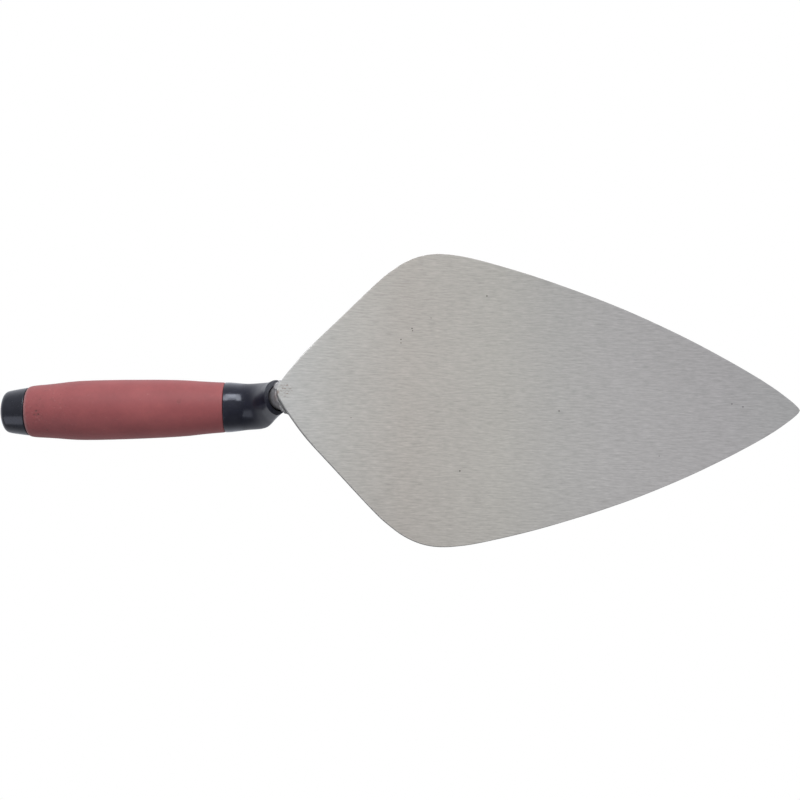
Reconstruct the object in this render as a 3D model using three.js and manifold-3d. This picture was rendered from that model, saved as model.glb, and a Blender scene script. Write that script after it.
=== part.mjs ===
// Brick trowel, London-type pattern, with a gooseneck shank and a soft-grip handle.
// Millimetres, +Z up. The blade lies flat with its working face on z = 0, its centreline on +X and
// its tip pointing along +X. The origin is on the working face, on the centreline, at the widest
// station of the blade. The handle rises behind the heel, towards -X.
//
// Parts are drawn with x measured from the theoretical heel corner; the trowel group moves them.
// Handle parts are drawn in the handle's own axes: x towards the blade, y along the handle axis
// towards the butt, z across. A station is a y value, measured from the point over the heel corner.

import * as THREE from 'three';
import { mergeVertices } from 'three/addons/utils/BufferGeometryUtils.js';
import Module from 'manifold-3d';

const wasm = await Module();
wasm.setup();

// ---------------------------------------------------------------- shared dimensions
const HEEL_TO_WIDEST = 91;        // theoretical heel corner to the widest station
const BLADE_T_HEEL = 2.4;         // plate thickness at the heel
const GAP = 0.3;                  // clearance between neighbouring solids
const FOOT_Z = BLADE_T_HEEL + GAP; // underside of the shank and its weld

const HANDLE_LIFT = 36.57;        // handle axis above the working face, over the heel corner
const HANDLE_RISE = THREE.MathUtils.degToRad(15.24); // climb of the handle axis towards the butt

// stations along the handle
const SPIGOT_START = 14.4;        // front end of the core's spigot
const COLLAR_END = 21.5;          // joint between collar and grip
const TANG_END = 106;
const PLUG_START = 114;           // inner end of the cap's plug
const GRIP_END = 131.4;           // joint between grip and butt cap

const CORE_R = 10.8;
const CORE_BORE_R = 6.1;          // core bore round the tang
const SPIGOT_R = 8.7;             // core spigot inside the collar
const PLUG_R = 7.5;

const SEGMENTS = {                // facets round each lofted or turned shape
  bar: 32, tongue: 28, weld: 64, collar: 44, bore: 36, socket: 40, core: 36, grip: 48, cap: 48,
};

const SIDE = new THREE.Vector3(0, 1, 0);
const VERTICAL = new THREE.Vector3(0, 0, 1);
const TO_BUTT = new THREE.Vector3(-Math.cos(HANDLE_RISE), 0, Math.sin(HANDLE_RISE));
const TO_BLADE = new THREE.Vector3(-Math.sin(HANDLE_RISE), 0, -Math.cos(HANDLE_RISE));
const HANDLE_POINT = new THREE.Vector3(0, 0, HANDLE_LIFT);

// ---------------------------------------------------------------- mesh helpers
function signedVolume(geometry) {
  const { position } = geometry.attributes;
  const index = geometry.index.array;
  const corners = [new THREE.Vector3(), new THREE.Vector3(), new THREE.Vector3()];
  let volume = 0;
  for (let i = 0; i < index.length; i += 3) {
    corners.forEach((corner, k) => corner.fromBufferAttribute(position, index[i + k]));
    volume += corners[0].dot(corners[1].cross(corners[2])) / 6;
  }
  return volume;
}

// a closed geometry with shared vertices, no seam and its faces turned outwards
function closeSeams(geometry) {
  const loose = geometry.index ? geometry.toNonIndexed() : geometry.clone();
  loose.deleteAttribute('normal');
  loose.deleteAttribute('uv');
  const merged = mergeVertices(loose, 1e-4);
  const index = merged.index.array;
  const kept = [];
  for (let i = 0; i < index.length; i += 3) {
    const [a, b, c] = index.slice(i, i + 3);
    if (a !== b && b !== c && a !== c) kept.push(a, b, c);
  }
  merged.setIndex(kept);
  if (signedVolume(merged) < 0) {
    for (let i = 0; i < kept.length; i += 3) {
      [kept[i], kept[i + 1]] = [kept[i + 1], kept[i]];
    }
    merged.setIndex(kept);
  }
  return merged;
}

function toSolid(geometry) {
  const closed = closeSeams(geometry);
  return new wasm.Manifold(new wasm.Mesh({
    numProp: 3,
    vertProperties: new Float32Array(closed.attributes.position.array),
    triVerts: new Uint32Array(closed.index.array),
  }));
}

function fromSolid(solid) {
  const mesh = solid.getMesh();
  const geometry = new THREE.BufferGeometry();
  const positions = new Float32Array(mesh.vertProperties);
  geometry.setAttribute('position', new THREE.BufferAttribute(positions, 3));
  geometry.setIndex(Array.from(mesh.triVerts));
  return geometry;
}

// A capped cylinder reshaped ring by ring. A ring has a centre and two half axes, along and across;
// it may give the half opposite to `along` its own reach, `front`, and a `narrowing` share.
function loft(rings, segments) {
  const spans = rings.length - 1;
  const geometry = new THREE.CylinderGeometry(1, 1, spans, segments, spans);
  const { position } = geometry.attributes;
  const point = new THREE.Vector3();
  for (let i = 0; i < position.count; i++) {
    const ring = rings[Math.round(spans / 2 - position.getY(i))];
    const x = position.getX(i);
    const useFront = x < 0 && ring.front;
    const width = position.getZ(i) * (1 - (ring.narrowing ?? 0) * Math.max(0, -x));
    point.copy(ring.centre)
      .addScaledVector(useFront ? ring.front : ring.along, useFront ? -x : x)
      .addScaledVector(ring.across, width);
    position.setXYZ(i, point.x, point.y, point.z);
  }
  return closeSeams(geometry);
}

// a round ring for loft, square to the direction of travel
function roundRing(direction, centre, radius, side = SIDE) {
  return {
    centre,
    along: new THREE.Vector3().crossVectors(direction, side).normalize().multiplyScalar(radius),
    across: side.clone().multiplyScalar(radius),
  };
}

// lathe round the local Y axis from [station, radius] rows
function turned(rows, segments) {
  const profile = rows.map(([station, radius]) => new THREE.Vector2(radius, station));
  return closeSeams(new THREE.LatheGeometry(profile, segments));
}

// Catmull-Rom subdivision of rows of numbers, each row one knot
function smoothRows(rows, steps) {
  const smooth = [];
  const last = rows.length - 1;
  for (let i = 0; i < last; i++) {
    const before = rows[Math.max(i - 1, 0)];
    const from = rows[i];
    const to = rows[i + 1];
    const after = rows[Math.min(i + 2, last)];
    for (let k = 0; k < steps; k++) {
      const t = k / steps;
      smooth.push(from.map((value, j) => 0.5 * (2 * value + (to[j] - before[j]) * t
        + (2 * before[j] - 5 * value + 4 * to[j] - after[j]) * t * t
        + (3 * value - before[j] - 3 * to[j] + after[j]) * t * t * t)));
    }
  }
  smooth.push([...rows[last]]);
  return smooth;
}

// smooth curve in plan through [x, y] rows
function planCurve(rows) {
  const points = rows.map(([x, y]) => new THREE.Vector3(x, y, 0));
  return new THREE.CatmullRomCurve3(points, false, 'centripetal');
}

// a point of the x-z plane, in the handle's own axes
function inHandle(x, z) {
  const offset = new THREE.Vector3(x, 0, z).sub(HANDLE_POINT);
  return new THREE.Vector3(offset.dot(TO_BLADE), offset.dot(TO_BUTT), 0);
}

const onHandleAxis = (station) => HANDLE_POINT.clone().addScaledVector(TO_BUTT, station);

// ---------------------------------------------------------------- blade
const BLADE_T_TIP = 1.1;          // plate thickness at the tip (taper ground)
const BLADE_CURVE_STEPS = 150;    // steps along each half outline
const HEEL_SKEW = 1.2;            // offset of the heel's nose from the centreline, towards -Y
const HEEL_SKEW_LENGTH = 12;      // the offset dies away over about this length

// half outline: [x from heel corner, half width]
const BLADE_HALF = [
  [3.45, 0], [3.55, 1.4], [3.95, 2.9], [4.7, 4.3], [6.0, 6.2], [8.3, 9.6], [12.3, 15.0], [16, 19.8],
  [20, 24.5], [25, 29.8], [30, 34.95], [35, 40.15], [40, 45.35], [45, 50.6], [50, 55.8], [55, 60.9],
  [60, 65.7], [65, 69.7], [70, 73.3], [75, 75.95], [80, 77.85], [85, 79.0], [90, 79.45], [95, 79.35],
  [100, 78.85], [105, 78.15], [110, 77.2], [120, 74.9], [130, 72.35], [140, 69.6], [150, 66.6],
  [160, 63.4], [170, 60.1], [180, 56.6], [190, 52.9], [200, 48.9], [210, 44.65], [220, 40.2],
  [230, 35.5], [240, 30.5], [250, 25.3], [260, 19.8], [265, 16.95], [270, 13.9], [275, 10.65],
  [280, 7.0], [283, 4.7], [285, 2.95], [286.2, 1.75], [286.95, 0.85], [287.25, 0],
];

function makeBlade() {
  const heelX = BLADE_HALF[0][0];
  const tipX = BLADE_HALF.at(-1)[0];
  const half = planCurve(BLADE_HALF).getPoints(BLADE_CURVE_STEPS);
  half[0].y = 0;
  half.at(-1).y = 0;
  const skew = (x) => -HEEL_SKEW * Math.exp(-(x - heelX) / HEEL_SKEW_LENGTH);
  const outline = new THREE.Shape([
    ...half.map(({ x, y }) => new THREE.Vector2(x, skew(x) - y)),
    ...half.slice(1, -1).reverse().map(({ x, y }) => new THREE.Vector2(x, skew(x) + y)),
  ]);
  // a plate of unit thickness, then its upper side is set to the taper
  const plate = new THREE.ExtrudeGeometry(outline, { depth: 1, bevelEnabled: false, steps: 1 });
  const { position } = plate.attributes;
  for (let i = 0; i < position.count; i++) {
    const share = (position.getX(i) - heelX) / (tipX - heelX);
    const thickness = BLADE_T_HEEL + (BLADE_T_TIP - BLADE_T_HEEL) * share;
    position.setZ(i, position.getZ(i) > 0.5 ? thickness : 0);
  }
  return closeSeams(plate);
}

// ---------------------------------------------------------------- centreline of neck and tang
const NECK_LEAN = THREE.MathUtils.degToRad(22); // the neck leans back from the blade's normal
const MOUTH = new THREE.Vector3(5.9, 0, 12.05); // shank centre where it leaves the collar
const BEND_R = 18;                // radius of the bend on the centreline
const BEND_STEPS = 8;

const NECK_UP = new THREE.Vector3(-Math.sin(NECK_LEAN), 0, Math.cos(NECK_LEAN));
const onNeck = (distance) => MOUTH.clone().addScaledVector(NECK_UP, distance);
const neckAtHeight = (z) => onNeck((z - MOUTH.z) / NECK_UP.z);

// the neck's line crosses the handle axis at the corner, which the bend rounds off
const crossXZ = (a, b) => a.x * b.z - a.z * b.x;
const CORNER_DISTANCE = crossXZ(HANDLE_POINT.clone().sub(MOUTH), TO_BUTT)
  / crossXZ(NECK_UP, TO_BUTT);
const CORNER = onNeck(CORNER_DISTANCE);
const BEND_ANGLE = Math.acos(NECK_UP.dot(TO_BUTT));
const BEND_TANGENT = BEND_R * Math.tan(BEND_ANGLE / 2);
const BEND_START = CORNER.clone().addScaledVector(NECK_UP, -BEND_TANGENT);
const BEND_END = CORNER.clone().sub(HANDLE_POINT).dot(TO_BUTT) + BEND_TANGENT; // station
const BEND_INWARD = TO_BUTT.clone().addScaledVector(NECK_UP, -NECK_UP.dot(TO_BUTT)).normalize();
const BEND_CENTRE = BEND_START.clone().addScaledVector(BEND_INWARD, BEND_R);

// places round the bend, after its start: share of the turn, direction of travel and centre
const BEND_PLACES = Array.from({ length: BEND_STEPS }, (_, i) => {
  const share = (i + 1) / BEND_STEPS;
  const angle = BEND_ANGLE * share;
  return {
    share,
    direction: NECK_UP.clone().multiplyScalar(Math.cos(angle))
      .addScaledVector(BEND_INWARD, Math.sin(angle)),
    centre: BEND_CENTRE.clone()
      .addScaledVector(BEND_INWARD, -BEND_R * Math.cos(angle))
      .addScaledVector(NECK_UP, BEND_R * Math.sin(angle)),
  };
});

// ---------------------------------------------------------------- shank with tang
const FOOT_R = 6.5;               // bar radius where it meets the blade
const NECK_R = 5.75;              // neck radius inside the collar
const TANG_R = 5.0;               // tang radius at the end of the bend
const TANG_END_R = 3.2;           // tang radius before its rounded-off end
const TANG_NOSE = { length: 2.5, flare: 0.1, inset: 1.2 }; // tapered last part of the tang
const MOUTH_TAPER = { reach: 1.5, startR: 6.25, flare: 0.1 }; // bar narrowing at the mouth
const CUT_BELOW = 2;              // cutting shapes reach this far below the foot

// bar just above the blade: [height over foot, radius, share of the neck's lean]
const FOOT_RINGS = [[0, FOOT_R, 0], [1.2, 6.45, 0.25], [2.8, 6.4, 0.55], [4.6, 6.35, 0.85]];

// tongue at the foot, lying on the back of the blade: [x from heel corner, half width, height]
const TONGUE = [
  [5.2, 4.6, 3.4], [6.2, 6.0, 4.6], [8.0, 6.7, 5.2], [11, 6.8, 5.2], [15, 6.6, 4.6], [20, 6.1, 3.8],
  [25, 5.4, 3.1], [30, 4.5, 2.4], [35, 3.3, 1.7], [38.5, 2.1, 1.2], [40.2, 1.1, 0.8],
];
const TONGUE_STEPS = 2;           // subdivisions between rows

// neck, bend and tang, grown by `extra` where something must clear them
function barShape(extra) {
  const { reach, startR, flare } = MOUTH_TAPER;
  const tangMiddle = onHandleAxis((BEND_END + TANG_END) / 2);
  const rings = [
    ...FOOT_RINGS.map(([height, radius, lean]) => roundRing(
      VERTICAL.clone().lerp(NECK_UP, lean).normalize(),
      neckAtHeight(FOOT_Z + height), radius + extra)),
    roundRing(NECK_UP, onNeck(-reach), startR + extra),
    roundRing(NECK_UP, onNeck(reach), NECK_R + flare + extra),
    roundRing(NECK_UP, BEND_START, NECK_R + extra),
    ...BEND_PLACES.map(({ share, direction, centre }) => roundRing(
      direction, centre, NECK_R + (TANG_R - NECK_R) * share + extra)),
    roundRing(TO_BUTT, tangMiddle, (TANG_R + TANG_END_R) / 2 + extra),
    roundRing(TO_BUTT, onHandleAxis(TANG_END - TANG_NOSE.length),
      TANG_END_R + TANG_NOSE.flare + extra),
    roundRing(TO_BUTT, onHandleAxis(TANG_END), TANG_END_R - TANG_NOSE.inset + extra),
  ];
  return toSolid(loft(rings, SEGMENTS.bar));
}

// a half-round bar, flat underneath, that thins and narrows forward; grown by `extra` as a cutter
function tongueShape(extra) {
  const rings = smoothRows(TONGUE, TONGUE_STEPS).map(([x, halfWidth, height]) => ({
    centre: new THREE.Vector3(x, 0, FOOT_Z),
    along: new THREE.Vector3(0, 0, height + extra),
    across: new THREE.Vector3(0, halfWidth + extra, 0),
  }));
  if (extra > 0) {
    const shifted = (ring, distance) => ({
      ...ring, centre: new THREE.Vector3(ring.centre.x + distance, 0, FOOT_Z),
    });
    rings.unshift(shifted(rings[0], -extra));
    rings.push(shifted(rings.at(-1), extra));
  }
  const geometry = loft(rings, SEGMENTS.tongue);
  const { position } = geometry.attributes;
  const underside = extra > 0 ? FOOT_Z - CUT_BELOW : FOOT_Z;
  for (let i = 0; i < position.count; i++) {
    if (position.getZ(i) < FOOT_Z + 1e-4) position.setZ(i, underside);
  }
  return toSolid(geometry);
}

const makeShank = () => fromSolid(barShape(0).add(tongueShape(0)));

// ---------------------------------------------------------------- weld round the foot
const WELD_SLIM = 0.78;           // outer toe's width on the -Y side, as a share of the +Y side
const WELD_H = 2.6;               // leg height
const WELD_FRONT_DROP = 0.55;     // share of the height lost over the front half of the way round
const FOOT_CUT_TOP = 0.1;         // top of the upright cut round the bar, over the foot

// toes of the bead, half plan from rear to front: [x from heel corner, half width]
const WELD_INNER = [
  [6.2, 0], [6.6, 3.0], [7.4, 5.2], [8.8, 6.1], [11.5, 6.2], [15, 6.0], [20, 5.5], [25, 4.8],
  [30, 3.9], [34.5, 2.8], [37.6, 1.7], [39, 0.7], [39.2, 0],
];
const WELD_OUTER = [
  [4.6, 0], [4.75, 3.6], [5.2, 6.6], [5.6, 8.4], [6.3, 9.3], [8.0, 9.6], [10.5, 9.3], [16, 8.7],
  [24, 7.7], [32, 6.2], [38, 4.2], [42, 1.9], [42.8, 0],
];
// closed bead section: [share of the way from inner to outer toe, share of the height]
const WELD_SECTION = [
  [0, 0], [1, 0], [1.0, 0.22], [0.86, 0.5], [0.6, 0.76], [0.3, 0.95], [0, 1], [0, 0],
];

// the section is turned into a ring of inner radius 1, then each point is moved to its toe lines
function weldBead() {
  const profile = WELD_SECTION.map(([outward, height]) => new THREE.Vector2(1 + outward, height));
  const bead = new THREE.LatheGeometry(profile, SEGMENTS.weld);
  const innerToe = planCurve(WELD_INNER);
  const outerToe = planCurve(WELD_OUTER);
  const { position } = bead.attributes;
  for (let i = 0; i < position.count; i++) {
    const x = position.getX(i);
    const z = position.getZ(i);
    const angle = Math.atan2(z, -x); // 0 at the rear
    const outward = Math.hypot(x, z) - 1;
    const t = Math.min(Math.abs(angle) / Math.PI, 1);
    const inner = innerToe.getPoint(t);
    const outer = outerToe.getPoint(t);
    const onCentreline = t < 1e-6 || t > 1 - 1e-6;
    const hand = onCentreline ? 0 : Math.sign(angle);
    const outerY = outer.y * (hand < 0 ? WELD_SLIM : 1);
    const fade = 1 - WELD_FRONT_DROP * Math.max(0, t - 0.5) * 2;
    position.setXYZ(i,
      inner.x + (outer.x - inner.x) * outward,
      hand * (inner.y + (outerY - inner.y) * outward),
      FOOT_Z + position.getY(i) * WELD_H * fade);
  }
  return toSolid(bead);
}

// the bar and the tongue, grown by the clearance, are cut out of the bead
function makeHeelWeld() {
  const footCut = toSolid(loft([-CUT_BELOW, FOOT_CUT_TOP].map((height) => roundRing(
    VERTICAL, neckAtHeight(FOOT_Z + height), FOOT_R + GAP)), SEGMENTS.bar));
  return fromSolid(
    weldBead().subtract(barShape(GAP)).subtract(tongueShape(GAP)).subtract(footCut));
}

// ---------------------------------------------------------------- slanted collar joint
const JOINT_SKEW = 0.07;          // slope of the collar joint across the handle
const JOINT_FADE = { front: 10, rearStart: 1, rearEnd: 26 }; // distances from the joint

// collar, core and grip all follow the same slant, which dies away on both sides of the joint
function slantJoint(geometry) {
  const { smoothstep } = THREE.MathUtils;
  const { position } = geometry.attributes;
  for (let i = 0; i < position.count; i++) {
    const station = position.getY(i);
    const share = station < COLLAR_END
      ? smoothstep(station, COLLAR_END - JOINT_FADE.front, COLLAR_END)
      : 1 - smoothstep(station, COLLAR_END + JOINT_FADE.rearStart, COLLAR_END + JOINT_FADE.rearEnd);
    position.setY(i, station - JOINT_SKEW * position.getX(i) * share);
  }
  return geometry;
}

// ---------------------------------------------------------------- front collar
const COLLAR_BORE_R = 6.95;       // opening round the shank
const COLLAR_STEPS = 2;           // subdivisions between rows
const BORE_OVERRUN = { mouth: 12, bend: 4 }; // bore past the mouth and past the bend
const SOCKET_OVERRUN = 5;         // spigot socket past the collar's end

// a section fan across the gooseneck, from the grip to the mouth. The front point becomes the
// upper one at the grip end. x from the heel corner, z from the working face:
// [rear x, rear z, front x, front z, side x, side z, half width at the side, narrowing in front]
const COLLAR = [
  [-24.30, 29.18, -17.18, 55.32, -20.74, 42.25, 13.55, 0],
  [-21.89, 28.51, -14.77, 54.63, -18.33, 41.57, 13.54, 0],
  [-18.62, 27.96, -11.40, 53.30, -15.01, 40.63, 13.14, 0],
  [-15.47, 27.36, -7.84, 51.92, -11.66, 39.64, 12.77, 0],
  [-12.87, 26.61, -4.10, 50.53, -8.30, 38.60, 12.48, 0],
  [-10.68, 25.49, -0.90, 49.10, -4.70, 37.20, 12.36, 0.02],
  [-8.90, 23.95, 1.75, 46.70, -1.50, 35.40, 12.18, 0.06],
  [-7.20, 21.70, 4.10, 43.10, 0.80, 32.90, 11.75, 0.12],
  [-5.80, 18.90, 6.20, 38.10, 2.20, 29.20, 11.30, 0.20],
  [-4.60, 15.80, 8.10, 32.60, 3.10, 24.80, 10.80, 0.30],
  [-3.60, 12.70, 9.90, 27.10, 3.95, 20.30, 10.30, 0.38],
  [-2.65, 9.60, 11.50, 21.60, 4.50, 16.00, 9.80, 0.36],
  [-1.85, 6.82, 12.30, 16.65, 5.15, 11.80, 9.40, 0.24],
];

function collarBody() {
  const rings = smoothRows(COLLAR, COLLAR_STEPS).map(
    ([rearX, rearZ, frontX, frontZ, sideX, sideZ, halfWidth, narrowing]) => {
      const centre = inHandle(sideX, sideZ);
      return {
        centre,
        along: inHandle(rearX, rearZ).sub(centre),
        front: inHandle(frontX, frontZ).sub(centre),
        across: new THREE.Vector3(0, 0, halfWidth),
        narrowing: Math.max(narrowing, 0),
      };
    });
  return toSolid(loft(rings, SEGMENTS.collar));
}

// ring of the shank's opening, in the handle's axes
function boreRing(direction, centre) {
  const here = inHandle(centre.x, centre.z);
  const ahead = inHandle(centre.x + direction.x, centre.z + direction.z).sub(here).normalize();
  return roundRing(ahead, here, COLLAR_BORE_R, VERTICAL); // the handle's z runs across
}

function makeCollar() {
  const bore = toSolid(loft([
    boreRing(NECK_UP, onNeck(-BORE_OVERRUN.mouth)),
    boreRing(NECK_UP, BEND_START),
    ...BEND_PLACES.map(({ direction, centre }) => boreRing(direction, centre)),
    boreRing(TO_BUTT, onHandleAxis(BEND_END + BORE_OVERRUN.bend)),
  ], SEGMENTS.bore));
  const socketStart = SPIGOT_START - GAP;
  const socketEnd = COLLAR_END + SOCKET_OVERRUN;
  const socketR = SPIGOT_R + GAP;
  const socket = toSolid(turned([
    [socketStart, 0], [socketStart, socketR], [socketEnd, socketR], [socketEnd, 0],
  ], SEGMENTS.socket));
  return slantJoint(fromSolid(collarBody().subtract(bore).subtract(socket)));
}

// ---------------------------------------------------------------- handle core
function makeCore() {
  const shoulder = COLLAR_END + GAP;
  const rearEnd = GRIP_END - GAP;
  const plugFloor = PLUG_START - GAP;
  const plugBoreR = PLUG_R + GAP;
  return slantJoint(turned([
    [SPIGOT_START, CORE_BORE_R], [SPIGOT_START, SPIGOT_R],
    [shoulder, SPIGOT_R], [shoulder, CORE_R],
    [rearEnd, CORE_R], [rearEnd, plugBoreR],
    [plugFloor, plugBoreR], [plugFloor, CORE_BORE_R],
    [SPIGOT_START, CORE_BORE_R],
  ], SEGMENTS.core));
}

// ---------------------------------------------------------------- soft grip
// outside profile: [station, radius]
const GRIP = [
  [21.8, 13.1], [22.05, 13.45], [23.1, 13.68], [25.7, 13.84], [29, 14.05], [32.3, 14.29],
  [35.6, 14.56], [39, 14.88], [42.3, 15.18], [45.6, 15.4], [49, 15.56], [52.3, 15.69],
  [59, 15.92], [65.7, 16.08], [72.4, 16.21], [79.1, 16.31], [85.9, 16.37], [92.6, 16.38],
  [99.3, 16.31], [102.7, 16.2], [106.1, 16.02], [109.5, 15.75], [112.8, 15.42], [116.2, 15.1],
  [119.6, 14.83], [123, 14.59], [126.4, 14.35], [128.6, 14.1], [130.1, 13.8], [130.9, 13.4],
  [131.2, 13.0],
];

function makeGrip() {
  const boreStart = [GRIP[0][0], CORE_R + GAP];
  const boreEnd = [GRIP.at(-1)[0], CORE_R + GAP];
  return slantJoint(turned([boreStart, ...GRIP, boreEnd, boreStart], SEGMENTS.grip));
}

// ---------------------------------------------------------------- butt cap
const PLUG_CHAMFER = 0.8;

// outside profile: [station, radius]
const CAP = [
  [131.5, 12.8], [131.8, 13.1], [132.7, 13.03], [136.2, 12.54], [139.4, 12.04], [141.6, 11.65],
  [143.0, 11.25], [144.0, 10.6], [144.75, 9.6], [145.6, 7.7], [146.45, 5.1], [147.0, 2.5],
  [147.2, 0],
];

function makeCap() {
  return turned([
    [PLUG_START, 0], [PLUG_START, PLUG_R - PLUG_CHAMFER], [PLUG_START + PLUG_CHAMFER, PLUG_R],
    [CAP[0][0], PLUG_R], ...CAP,
  ], SEGMENTS.cap);
}

// ---------------------------------------------------------------- materials
const material = (settings) => new THREE.MeshStandardMaterial(settings);
const groundSteel = material({ color: 0xb4b3b0, roughness: 0.42, metalness: 1 });
const forgedSteel = material({ color: 0x8f8d90, roughness: 0.5, metalness: 1 });
const weldSteel = material({ color: 0x9a989b, roughness: 0.55, metalness: 1 });
const blackNylon = material({ color: 0x25262b, roughness: 0.32, metalness: 0 });
const redSoft = material({ color: 0xa25254, roughness: 0.75, metalness: 0 });
const coreNylon = material({ color: 0x1d1e21, roughness: 0.5, metalness: 0 });

// ---------------------------------------------------------------- assembly
function addPiece(parent, name, geometry, surface) {
  const mesh = new THREE.Mesh(geometry, surface);
  mesh.name = name;
  parent.add(mesh);
}

const group = new THREE.Group();
const trowel = new THREE.Group();
trowel.position.set(-HEEL_TO_WIDEST, 0, 0);
group.add(trowel);
addPiece(trowel, 'blade', makeBlade(), groundSteel);
addPiece(trowel, 'shank', makeShank(), forgedSteel);
addPiece(trowel, 'heel_weld', makeHeelWeld(), weldSteel);

const handle = new THREE.Group();
handle.position.copy(HANDLE_POINT);
handle.quaternion.setFromRotationMatrix(
  new THREE.Matrix4().makeBasis(TO_BLADE, TO_BUTT, SIDE));
trowel.add(handle);
addPiece(handle, 'front_collar', makeCollar(), blackNylon);
addPiece(handle, 'handle_core', makeCore(), coreNylon);
addPiece(handle, 'grip_sleeve', makeGrip(), redSoft);
addPiece(handle, 'butt_cap', makeCap(), blackNylon);

export default group;
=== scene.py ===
"""A trowel: a flat, tapering steel blade, a round shank welded to its back, a black
collar, a red grip and a black butt cap.

Pieces are laid out in the heel frame, in mm: x runs from the heel to the tip, y across the
blade, z up from its underside. The handle rises backwards from above the heel. The scene
uses the same axes, in metres, with its origin under the blade's widest place.
"""
import math

import bmesh
import bpy
import numpy as np
from mathutils import Matrix, Vector, noise
from mathutils.kdtree import KDTree


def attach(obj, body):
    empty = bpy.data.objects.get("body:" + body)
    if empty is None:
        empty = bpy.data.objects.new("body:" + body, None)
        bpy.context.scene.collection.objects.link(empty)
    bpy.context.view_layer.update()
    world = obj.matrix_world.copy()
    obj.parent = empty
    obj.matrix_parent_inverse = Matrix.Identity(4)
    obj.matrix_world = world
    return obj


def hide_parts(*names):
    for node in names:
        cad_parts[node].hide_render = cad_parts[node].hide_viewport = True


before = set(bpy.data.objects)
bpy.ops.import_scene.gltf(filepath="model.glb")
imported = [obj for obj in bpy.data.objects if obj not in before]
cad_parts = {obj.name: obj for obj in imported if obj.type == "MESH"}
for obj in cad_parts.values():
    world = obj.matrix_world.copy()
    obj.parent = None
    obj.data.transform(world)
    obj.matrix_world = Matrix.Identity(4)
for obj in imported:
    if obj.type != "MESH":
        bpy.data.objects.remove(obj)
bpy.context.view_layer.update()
MM = 0.001

# ------------------------------------------------------------------ dimensions, mm
HEEL_TO_WIDEST = 91.0
HEEL_ORIGIN = [HEEL_TO_WIDEST, 0, 0]
HEEL_THICKNESS, TIP_THICKNESS = 2.4, 1.1
GAP = 0.3                                   # clearance between pieces

# Half outline of the blade: x, half width
BLADE_HALF = [
    (3.45, 0), (3.55, 1.4), (3.95, 2.9), (4.7, 4.3), (6.0, 6.2), (8.3, 9.6), (12.3, 15.0), (16, 19.8),
    (20, 24.5), (25, 29.8), (30, 34.95), (35, 40.15), (40, 45.35), (45, 50.6), (50, 55.8), (55, 60.9),
    (60, 65.7), (65, 69.7), (70, 73.3), (75, 75.95), (80, 77.85), (85, 79.0), (90, 79.45), (95, 79.35),
    (100, 78.85), (105, 78.15), (110, 77.2), (120, 74.9), (130, 72.35), (140, 69.6), (150, 66.6),
    (160, 63.4), (170, 60.1), (180, 56.6), (190, 52.9), (200, 48.9), (210, 44.65), (220, 40.2),
    (230, 35.5), (240, 30.5), (250, 25.3), (260, 19.8), (265, 16.95), (270, 13.9), (275, 10.65),
    (280, 7.0), (283, 4.7), (285, 2.95), (286.2, 1.75), (286.95, 0.85), (287.25, 0),
]
BLADE_START = BLADE_HALF[0][0]
HEEL_SKEW, HEEL_SKEW_LENGTH = 1.2, 12.0     # the heel swings to -y, fading out over this length

# Handle: stations are measured along its axis from HANDLE_START, towards the butt
LIFT, HANDLE_RISE = 36.57, math.radians(15.24)
COLLAR_END, SPIGOT_START = 21.5, 14.4
JOINT_SKEW = 0.07                           # slant of the collar-to-grip joint
SPIGOT_RADIUS, CORE_RADIUS, PLUG_RADIUS = 8.7, 10.8, 7.5
# Grip profile: station, radius
GRIP = [
    (21.8, 13.1), (22.05, 13.45), (23.1, 13.68), (25.7, 13.84), (29, 14.05), (32.3, 14.29), (35.6, 14.56),
    (39, 14.88), (42.3, 15.18), (45.6, 15.4), (49, 15.56), (52.3, 15.69), (59, 15.92), (65.7, 16.08),
    (72.4, 16.21), (79.1, 16.31), (85.9, 16.37), (92.6, 16.38), (99.3, 16.31), (102.7, 16.2),
    (106.1, 16.02), (109.5, 15.75), (112.8, 15.42), (116.2, 15.1), (119.6, 14.83), (123, 14.59),
    (126.4, 14.35), (128.6, 14.1), (130.1, 13.8), (130.9, 13.4), (131.2, 13.0),
]
# Butt cap profile: station, radius
CAP = [
    (131.5, 12.8), (131.8, 13.1), (132.7, 13.03), (136.2, 12.54), (139.4, 12.04), (141.6, 11.65),
    (143.0, 11.25), (144.0, 10.6), (144.75, 9.6), (145.6, 7.7), (146.45, 5.1), (147.0, 2.5), (147.2, 0),
]
PLUG_START, PLUG_CHAMFER = 114.3, 0.8
# Collar sections, from the grip to the mouth: lower rear point x, z; upper front point x, z;
# middle x, z; half width; share by which the front half narrows
COLLAR = [
    (-24.30, 29.18, -17.18, 55.32, -20.74, 42.25, 13.55, 0),
    (-21.89, 28.57, -14.77, 54.63, -18.33, 41.57, 13.52, 0),
    (-18.62, 27.96, -11.40, 53.30, -15.01, 40.63, 13.20, 0),
    (-15.47, 27.36, -7.84, 51.92, -11.66, 39.64, 12.77, 0),
    (-12.87, 26.61, -4.10, 50.53, -8.30, 38.60, 12.48, 0),
    (-10.68, 25.49, -0.90, 49.10, -4.70, 37.20, 12.45, 0.02),
    (-8.90, 23.95, 1.75, 46.70, -1.50, 35.40, 12.38, 0.06),
    (-7.20, 21.70, 4.10, 43.10, 0.80, 32.90, 12.10, 0.13),
    (-5.80, 18.90, 6.20, 38.10, 2.20, 29.20, 11.55, 0.22),
    (-4.60, 15.80, 8.10, 32.60, 3.10, 24.80, 10.80, 0.30),
    (-3.80, 12.66, 9.90, 27.10, 3.85, 20.30, 10.32, 0.38),
    (-3.10, 9.52, 11.45, 21.60, 4.40, 16.00, 9.88, 0.36),
    (-2.55, 6.74, 12.20, 16.65, 5.00, 11.80, 9.50, 0.25),
]
BORE_RADIUS = 6.95
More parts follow.
